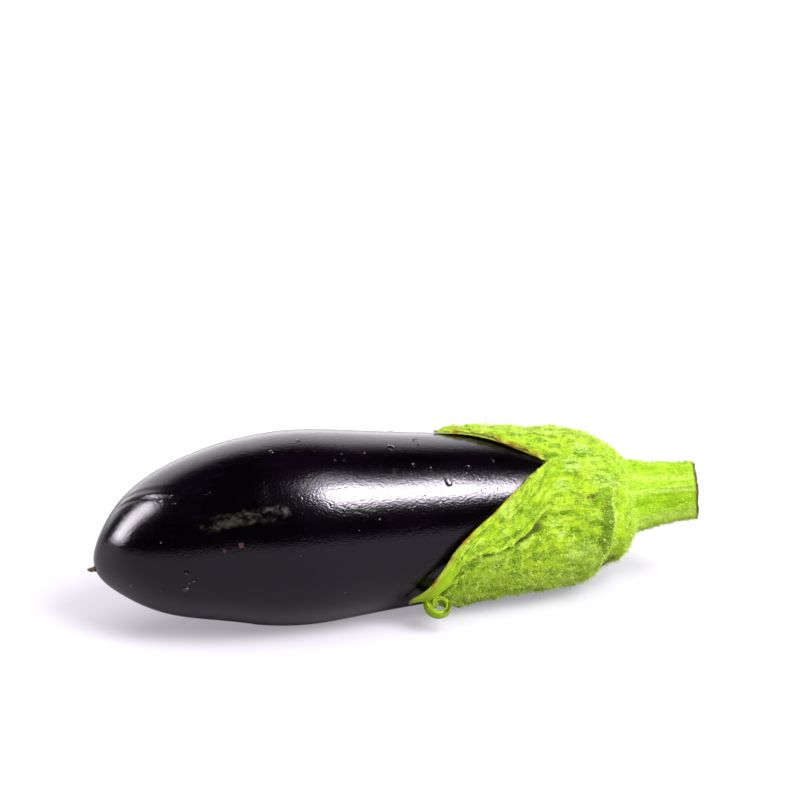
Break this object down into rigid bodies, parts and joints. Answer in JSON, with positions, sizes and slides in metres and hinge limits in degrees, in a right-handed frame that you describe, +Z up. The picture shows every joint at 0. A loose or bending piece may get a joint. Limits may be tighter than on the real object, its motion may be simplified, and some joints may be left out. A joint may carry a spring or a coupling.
{
  "type": "eggplant",
  "caption": "Small glossy black-purple eggplant with a green calyx that clasps its shoulder and a short cut stem, lying on its side.",
  "frame": {"origin": "middle of the base of the whole object's box, on the surface that it lies on", "axes": "+Z up, +X along the fruit from its blossom end towards its stem"},
  "size_m": [0.1348, 0.0412, 0.0406],
  "materials": {
    "skin": "taut glossy black-purple fruit skin with a thin natural wax",
    "calyx_green": "thick felty yellow-green leaf tissue with pale and dark mottling, veins and brown scars",
    "stem_green": "ridged yellow-green stalk with a brown dried cut",
    "dried_style": "dry brown fibre"
  },
  "bodies": {
    "root": {"fruit": "skin", "calyx": "calyx_green", "stem": "stem_green", "style_remnant": "dried_style"}
  },
  "joints": []
}
